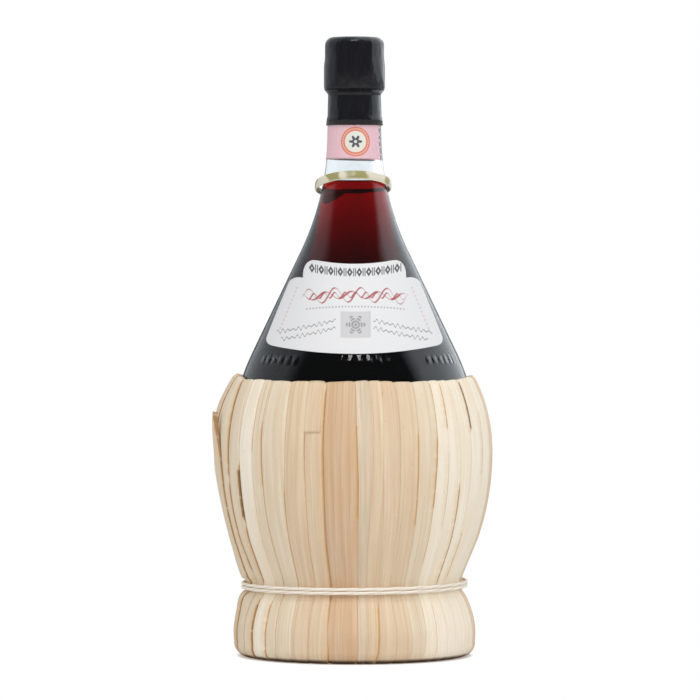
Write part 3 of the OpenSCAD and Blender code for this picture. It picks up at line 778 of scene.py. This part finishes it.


# Places where a leaf's free edge is browned and painted with the shade of the slit beside it, or stands
# open, as leaf: (low, high, browning with shade, open) in height.
edge_marks = {
    0: [(64, 92, 0.95, 0.4), (34, 64, 0.6, 0.15)], 1: [(95, 126, 0.3, 0.1)],
    2: [(105, 109, 1.0, 0.3), (80, 112, 0.4, 0.05)], 3: [(30, 82, 0.3, 0.1)], 4: [(40, 108, 0.3, 0.05)],
    5: [(26, 128, 0.6, 0.12), (86, 91, 1.0, 0.5), (69, 73, 1.0, 0.5)], 6: [(66, 112, 0.7, 0.0)],
    8: [(122, 126, 1.0, 0.4)], 9: [(60, 96, 0.25, 0.05)], 10: [(62, 109, 0.6, 0.25)],
    11: [(70, 106, 0.75, 0.3), (44, 131, 0.4, 0.05)], 12: [(106, 130, 0.7, 0.15), (60, 100, 0.4, 0.05)],
    13: [(34, 84, 0.85, 0.35), (84, 128, 0.3, 0.0)], 14: [(105, 131, 1.0, 0.7), (36, 62, 0.8, 0.3)],
    15: [(84, 118, 0.6, 0.1)], 16: [(86, 112, 0.7, 0.1), (36, 60, 0.8, 0.3)], 17: [(60, 112, 0.7, 0.2)],
    20: [(50, 100, 0.8, 0.5)], 24: [(80, 128, 0.7, 0.3)], 28: [(40, 90, 0.9, 0.6)],
    33: [(60, 120, 0.6, 0.3)], 39: [(84, 131, 0.65, 0.1), (40, 84, 0.6, 0.15)],
}
ridge_leaves = {6: 0.8, 7: 0.8, 8: 0.9, 9: 0.9, 10: 0.8, 11: 0.6}
# How far each leaf's free edge is browned and painted with slit shade on the foot.
foot_marks = {0: 0.9, 1: 0.8, 5: 0.5, 6: 0.3, 8: 0.7, 12: 0.4, 16: 0.8, 22: 0.7, 30: 0.8, 38: 0.6}


def edge_state(i):
    """Shares of leaf i's free edge along the run that are browned with painted slit shade, and that stand
    open, blended over 3 mm at a mark's ends.
    """
    z, brown_and_shade, gape = leaf_z, 0.12 + 0 * leaf_z, 0 * leaf_z
    for low, high, tint, lift in edge_marks.get(i, []):
        inside = np.clip((z - low) / 3, 0, 1) * np.clip((high - z) / 3, 0, 1)
        brown_and_shade, gape = np.maximum(brown_and_shade, tint * inside), np.maximum(gape, lift * inside)
    return np.maximum(brown_and_shade, foot_marks.get(i, 0) * np.clip((29 - z) / 3, 0, 1)), gape


def bell(z, middle, width):
    """A bell curve over the height."""
    return np.exp(-((z - middle) / width) ** 2)


def slack(i, c):
    """How far leaf i stands off the padding at share c of its width, along the run.

    The four leaves at the left do, in bells under the rim and above and below the waist cord.
    """
    z = leaf_z[:, None]
    share = {leaf_count - 4: c, leaf_count - 3: 1, leaf_count - 2: 1, leaf_count - 1: 1 - c}.get(i, 0)
    above = 2.1 * bell(z, 40, 12) * np.clip((z - 35.8) / 2, 0, 1)
    below = 1.3 * bell(z, 27, 5) * np.clip((31 - z) / 2, 0, 1)
    return share * (2.3 * bell(z, 112, 17) + above + below)


def leaf_height(i, columns=14):
    """Height of leaf i's underside over the run.

    From its seam it climbs to lie on its neighbour at the far edge, is crowned between, and has folds
    along it that come and go. Where its edge stands open, the last part curls up.
    """
    c, far = np.linspace(0, 1, columns)[None, :], leaf_far[:, None]
    rise = (leaf_t + 0.1) * c + 0.30 * np.sin(np.pi * c)
    folds = 0
    for k in range(3):
        at = (k + 0.7) / 3.3 + 0.12 * wander(far, 500 + 10 * i + k, 0.03, 2)
        fold_h = 0.10 + 0.10 * wander(far, 700 + 10 * i + k, 0.05, 2)
        folds = folds + fold_h * np.clip(1 - np.abs(c - at) / 0.16, 0, 1)
    buckle = 0.14 * wander(far + 2 * c, 900 + i, 0.08, 3) * np.sin(np.pi * c)
    gape = edge_state(i)[1][:, None] * c ** 5
    ridge = ridge_leaves.get(i, 0.2) * np.clip(1 - np.abs(leaf_z - 13.5) / 9, 0, 1)[:, None]
    return leaf_run[:, 2:3] * (rise + folds + buckle + gape + ridge + slack(i, c))


def blade_pair(name, start, span, height, seed, brown_and_shade, rows=slice(None)):
    """A leaf as a closed strip with thin edges, over these rows of the run.

    Its facts are blade, which is across, along and seed, and edge, the distance to its free edge and
    how far that edge is browned and painted with slit shade.
    """
    c = np.linspace(0, 1, height.shape[1])[None, :]
    thick = leaf_t * (1 - 0.7 * (2 * np.abs(c - 0.5)) ** 8)
    top, under = leaf_skin(start, span, height + thick), leaf_skin(start, span, height)
    width = (span * blade_r)[:, None]
    blade = np.stack(np.broadcast_arrays(width * c, leaf_far[:, None], seed), -1)[rows]
    edge = np.stack(np.broadcast_arrays(width * (1 - c), brown_and_shade[:, None], 0), -1)[rows]
    return piece(name, both_sides(top[rows], under[rows]), caps=True,
                 facts={"blade": both_sides(blade, blade), "edge": both_sides(edge, edge)})


def leaf_finish(name, light, dark, stain, stain_share):
    """A dried leaf: streaks between two tones, stains, hairlines, browned free edges with painted slit shade
    and bounce light, and painted contact shade at its foot.
    """
    made = Finish(name)
    blade = made.fact("blade")
    from_edge, brown_and_shade = made.split(made.fact("edge"))[:2]
    veins = made.noise(blade, (2.4, 0.02, 1), roughness=0.6)
    streaks = made.noise(blade, (0.55, 0.012, 1))
    patches = made.noise(blade, (0.16, 0.022, 1))
    hairs = made.noise(blade, (3.0, 0.012, 1.7), detail=1)
    specks = made.noise(blade, (2.0, 0.6, 1), detail=1).fit(0.74, 0.78)
    ragged = made.noise(blade, (0.0, 0.3, 1), detail=3)
    colour = made.mix((veins * 0.5 + streaks * 0.5).fit(0.36, 0.60), dark, light)
    colour = made.mix(patches.fit(0.42, 0.70) * stain_share, colour, stain)
    colour = made.mix(hairs.fit(0.66, 0.72) * 0.35, colour, (0.45, 0.25, 0.10))
    colour = made.mix(specks * 0.5, colour, (0.20, 0.11, 0.05))
    # Painted contact shade: the leaves darken to near black over their lowest 2.5 mm, where they meet the
    # floor.
    under = made.split(made.place())[2].fit(2.5, 1.3)
    colour = made.mix(under * 0.95, colour, (0.075, 0.036, 0.018))
    # The free edge's dark band is partly browning and partly painted shade of the slit beside it; the
    # stronger its mark, the wider and darker, down to near black.
    rim = (brown_and_shade * 1.6 - from_edge).fit(0.0, 0.7) * ragged.fit(0.22, 0.42)
    # An orange band beside the free edge: partly stain, partly painted warm bounce light from the slit.
    orange_stain_and_bounce = from_edge.fit(4.2, 0.4) * brown_and_shade * ragged.fit(0.30, 0.6)
    colour = made.mix(orange_stain_and_bounce * 0.6, colour, (0.76, 0.47, 0.20))
    browned_edge_and_shade_colour = made.mix(brown_and_shade.fit(0.8, 1.0), (0.58, 0.31, 0.11), (0.20, 0.09, 0.03))
    colour = made.mix(rim * 0.9, colour, browned_edge_and_shade_colour)
    return made.shade(Base_Color=colour, Roughness=0.5 + 0.2 * veins, Specular_IOR_Level=0.3,
                      Normal=made.bump(veins, 0.1))


# Each tone's light, dark and stained colour and its share of stains, then the leaves' tones in order.
leaf_tones = {name: leaf_finish("leaf_" + name, *tones) for name, *tones in (
    ("ivory", (0.95, 0.88, 0.76), (0.88, 0.77, 0.60), (0.86, 0.70, 0.49), 0.4),
    ("cream", (0.84, 0.74, 0.58), (0.74, 0.60, 0.43), (0.76, 0.57, 0.38), 0.5),
    ("tan", (0.81, 0.66, 0.48), (0.69, 0.51, 0.34), (0.71, 0.51, 0.33), 0.5),
    ("rust", (0.74, 0.54, 0.37), (0.60, 0.41, 0.25), (0.66, 0.40, 0.21), 0.5),
    ("green", (0.79, 0.66, 0.50), (0.66, 0.51, 0.36), (0.61, 0.51, 0.36), 0.55))}
front_tones = ["cream", "ivory", "cream", "cream", "tan", "tan", "rust", "green"] + ["tan"] * 3 + ["cream"]
front_tones += ["ivory"] * 5
back_tones = ["rust", "tan", "ivory", "green", "tan", "cream", "cream"]
for i in range(leaf_count):
    span = seam(i + 1) - seam(i) + leaf_cover * leaf_run[:, 3]
    leaf = blade_pair(f"sedge_leaf_{i + 1:02d}", seam(i), span, leaf_height(i), 40.0 * i, edge_state(i)[0])
    tone = front_tones[i] if i < len(front_tones) else back_tones[(i * 5) % len(back_tones)]
    dress(leaf, leaf_tones[tone], "sedge_leaf", "root", f"leaf_{i + 1:02d}")

# The sixth leaf's end is folded out over the rim and hangs down in front of it, cut straight.
flap_leaf, flap_low_z, flap_proud, flap_spare = 5, 105.3, 0.3, np.radians(0.9)
flap_start = seam(flap_leaf) - flap_spare
flap = blade_pair("folded_leaf_end", flap_start, seam(flap_leaf + 1) - flap_start,
                  leaf_height(flap_leaf) + flap_proud, 1700.0, 0.35 + 0 * leaf_z,
                  (leaf_far > 24) & (leaf_z > flap_low_z))
dress(flap, leaf_tones["tan"], "sedge_leaf", "root")

# One leaf at the left has come loose at the top: its pointed end curls off the others.
loose_side, loose_top_z, loose_proud, loose_curl = np.radians(-73), 116, 0.6, 3.2
loose_width = np.radians(13) * np.clip((loose_top_z + 1 - leaf_z) / 30, 0.03, 1) ** 1.3
loose_c, loose_z = np.linspace(0, 1, 12)[None, :], leaf_z[:, None]
loose_height = (leaf_t + loose_proud + loose_curl * np.clip((loose_z - 95) / 20, 0, 1) ** 1.6
                + slack(leaf_count - 2, loose_c) * (1 - 0.5 * loose_c) + 0.35 * np.sin(np.pi * loose_c)
                + 0.8 * (1 - loose_c) * np.clip((loose_z - 70) / 20, 0, 1))
loose = blade_pair("loose_leaf", loose_side - 0.9 * loose_width, loose_width, loose_height, 1800.0,
                   0.9 + 0 * leaf_z, (leaf_z < loose_top_z) & (leaf_z > waist_z - 0.5) & (leaf_far > 40))
dress(loose, leaf_tones["cream"], "sedge_leaf", "root")

# Cords. The rim cord lies in the leaves' fold and keeps it open. The waist cord, laid up from two
# strands, binds the leaves in above the foot in two turns, and ends at the back.
rim_lay, rim_columns, cord_lay, cord_thick = 6.0, 12, 22.0, 1.56
cord_start, cord_pitch_laid = np.radians(160), 1.75


def swept(name, path, aside, above, fact, values, closed=False):
    """A section carried along a path: each point lies aside of it, level, and above it, by these distances.

    The two are arrays with a row for each point of the path. Open ends close to a point.
    """
    along = unit(np.roll(path, -1, 0) - np.roll(path, 1, 0) if closed else np.gradient(path, axis=0))
    side = unit(np.cross(along, [0, 0, 1.0]))
    up = np.cross(side, along)
    grid = path[:, None] + side[:, None] * aside[..., None] + up[:, None] * above[..., None]
    if not closed:
        grid = np.concatenate([path[:1, None] + 0 * grid[:1], grid, path[-1:, None] + 0 * grid[-1:]])
        values = np.concatenate([values[:1], values, values[-1:]])
    return piece(name, grid, wrap_rows=closed, facts={fact: values})


def rope(name, path, radius, lay, columns=24, closed=False):
    """A rope of two strands along a path: its radius swells over each, and they wind round once in a lay."""
    far = distances(path)[:, None]
    a = np.linspace(0, 2 * np.pi, columns, endpoint=False)[None, :]
    strand = np.abs(np.cos(a - 2 * np.pi * far / lay))
    r = radius * (0.80 + 0.20 * strand ** 0.7)
    twist = np.stack(np.broadcast_arrays(strand, far, a * radius), -1)
    return swept(name, path, r * np.cos(a), r * np.sin(a), "twist", twist, closed)


cord_finish = Finish("raffia_cord")
cord_twist = cord_finish.fact("twist")
cord_strand = cord_finish.split(cord_twist)[0]
cord_hairs = cord_finish.noise(cord_twist, (2.0, 0.5, 3.0), detail=3)
# Painted shade: the cord turns darker in the grooves between its two strands.
cord_colour = cord_finish.mix(cord_strand.fit(0.0, 0.3), (0.66, 0.48, 0.30), (0.96, 0.90, 0.80))
cord_colour = cord_finish.mix(cord_hairs.fit(0.5, 0.8) * 0.4, cord_colour, (0.76, 0.62, 0.44))
cord_material = cord_finish.shade(Base_Color=cord_colour, Roughness=0.7,
                                  Normal=cord_finish.bump(cord_hairs, 0.2))

rim_t = np.linspace(0, 2 * np.pi, 360, endpoint=False)
rim_line = turned(turn_mid_r, rim_t, turn_z - rim_cord_d / 2)
dress(rope("rim_rope", rim_line, rim_cord_d / 2, rim_lay, rim_columns, closed=True),
      cord_material, "raffia", "root", "rim_cord")

cord_t = np.linspace(0, 2 * np.pi * cord_turns, 420)
cord_run_r = (waist_r + leaf_gap / 2 + cord_d / 2) / np.cos(np.pi / 24)
cord_line = turned(cord_run_r, cord_start + cord_t,
                   waist_z + cord_pitch_laid * (cord_t / (2 * np.pi) - cord_turns / 2))
dress(rope("waist_rope", cord_line, cord_thick / 2, cord_lay), cord_material, "raffia", "root", "waist_cord")

# Neck loop. A strip of green and straw-coloured leaf, drawn once round the neck and crossed behind,
# with a short tail down the back. It may be what is left of a handle.
loop_w, loop_t, loop_z, loop_wave, loop_slack, tail_len = 4.2, 1.1, 220.8, 4.6, 0.7, 9.0
loop_cross, loop_lap, tail_turn = 188, 14, 13
loop_out, loop_sink = loop_t + 1.2, 1.0


def loop_line():
    """The strip's middle line: the tail's climb, then a turn and a lap, moving out and down at its end."""
    k, share = np.linspace(1, 0, 16)[:-1], np.linspace(0, 1, 140)
    t = np.radians(np.concatenate([loop_cross + tail_turn * k, loop_cross - (360 + loop_lap) * share]))
    out = np.concatenate([0 * k, loop_out * share ** 2])
    z = loop_z + loop_wave * np.cos(t) - np.concatenate([tail_len * k, loop_sink * share ** 4])
    return turned(glass_radius(z - loop_w / 2) + loop_slack + loop_t / 2 + out, t, z)


def ribbon(name, line, half_w, half_t, columns=20):
    """A flat strip with rounded edges swept along a line, upright, its half width given at each point."""
    a = np.linspace(0, 2 * np.pi, columns, endpoint=False)
    across = np.sin(a) * half_w[:, None]
    thick = np.sign(np.cos(a)) * np.abs(np.cos(a)) ** 0.6 * half_t + 0 * across
    blade = np.stack(np.broadcast_arrays(across, distances(line)[:, None], thick), -1)
    return swept(name, line, thick, across, "blade", blade)


loop_path = loop_line()
loop_front = np.clip((0.9 - loop_path[:, 1] / np.hypot(loop_path[:, 0], loop_path[:, 1])) / 0.8, 0, 1)
loop = ribbon("neck_strip", loop_path, loop_w / 2 * (0.42 + 0.50 * loop_front), loop_t / 2)
loop_finish = Finish("green_leaf")
loop_blade = loop_finish.fact("blade")
loop_across = loop_finish.split(loop_blade)[0]
loop_veins = loop_finish.noise(loop_blade, (3.0, 0.06, 1), detail=3, roughness=0.7)
loop_patch = loop_finish.noise(loop_blade, (0.12, 0.10, 0), detail=1)
loop_colour = loop_finish.mix(loop_veins.fit(0.3, 0.7), (0.70, 0.64, 0.46), (0.88, 0.85, 0.72))
loop_colour = loop_finish.mix(loop_patch.fit(0.47, 0.55) * 0.9, loop_colour, (0.32, 0.29, 0.08))
loop_colour = loop_finish.mix((loop_across * -1).fit(1.2, 1.7) * 0.8, loop_colour, (0.90, 0.85, 0.70))
dress(loop, loop_finish.shade(Base_Color=loop_colour, Roughness=0.45,
                              Normal=loop_finish.bump(loop_veins, 0.3)), "neck_raffia", "root", "neck_loop")

# Studio. A white floor and white walls to the sides and behind, soft lamps, and a camera a little
# over two metres off, a little above the table.
floor_half = 6000.0
floor_x, floor_y = np.meshgrid([-floor_half, floor_half], [-floor_half, floor_half])
floor = piece("studio_floor", np.stack([floor_x, floor_y, 0 * floor_x], -1), wrap_cols=False)
floor_finish = Finish("white_floor")
passed = floor_finish.ray("Camera").most(floor_finish.ray("Transmission"))
# A painted contact shadow: where occlusion finds the flask within 2.2 mm, the floor's own white light turns
# dark brown.
painted_contact_shadow = floor_finish.node("AmbientOcclusion", {"samples": 8}, {"Distance": 0.0022}, "AO")
plain = floor_finish.node("BsdfDiffuse", None, {"Color": (0.8, 0.8, 0.8)})
floor_colour = floor_finish.mix(painted_contact_shadow, (0.35, 0.27, 0.2), (1.0, 1.0, 1.0))
white = floor_finish.node("Emission", None, {"Color": floor_colour, "Strength": 1.0})
floor_shader = floor_finish.node("MixShader", None, {0: passed, 1: plain, 2: white})
floor.data.materials.append(floor_finish.end(floor_shader))

# The walls are plain white where they are seen. In reflections they are bright at the sides and dark
# behind the camera, and they light the flask softly.
walls = Finish("studio_walls", "World")
wall_x, wall_y = walls.split(walls.node("TexCoord", out="Generated"))[:2]
bright = (wall_y * -1).fit(0.34, 0.08) * (1 - wall_y.fit(0.93, 0.97)) * (wall_x.fit(-0.2, 0.2) * 1.1 + 0.7)
clear, shiny = walls.ray("Camera").most(walls.ray("Transmission")), walls.ray("Glossy")
mirrored_level, soft_level = bright * 0.9 + 0.12, 0.55
strength = clear.most(shiny * mirrored_level) + (1 - clear.most(shiny)) * soft_level
tint = walls.mix(shiny, (1.0, 1.0, 1.0), (0.88, 0.94, 1.0))
bpy.context.scene.world = walls.end(walls.node("Background", None, {"Color": tint, "Strength": strength}))


def lamp(name, azimuth, elevation, distance, width, height, power, mirrored):
    """A soft rectangular lamp that looks at the flask from that azimuth, counted from the front to +X.

    mirrored says whether it shows in reflections.
    """
    light = bpy.data.lights.new(name, "AREA")
    light.shape, light.size, light.size_y, light.energy = "RECTANGLE", width, height, power
    made = bpy.data.objects.new(name, light)
    bpy.context.collection.objects.link(made)
    t, e = np.radians(azimuth), np.radians(elevation)
    aim = Vector((0, 0, 0.14))
    made.location = aim + distance * Vector((np.sin(t) * np.cos(e), -np.cos(t) * np.cos(e), np.sin(e)))
    made.rotation_euler = (aim - made.location).to_track_quat("-Z", "Y").to_euler()
    made.visible_glossy = made.visible_transmission = mirrored
    return made


lamp("top_lamp", 3, 68, 1.3, 0.5, 0.3, 3, True)
lamp("left_lamp", -50, 25, 1.6, 1.0, 1.0, 6, False)
lamp("right_lamp", 45, 25, 1.6, 1.0, 1.0, 8, False)

camera_data = bpy.data.cameras.new("photo_camera")
camera_data.sensor_width, camera_data.lens = 36, 246.6
camera_data.clip_end = 50
camera = bpy.data.objects.new("photo_camera", camera_data)
bpy.context.collection.objects.link(camera)
camera.location = (-0.0021, -2.25, 0.190)
camera.rotation_euler = (np.radians(90 - 1.187), 0, 0)
bpy.context.scene.camera = camera
bpy.context.scene.view_settings.view_transform = "Standard"
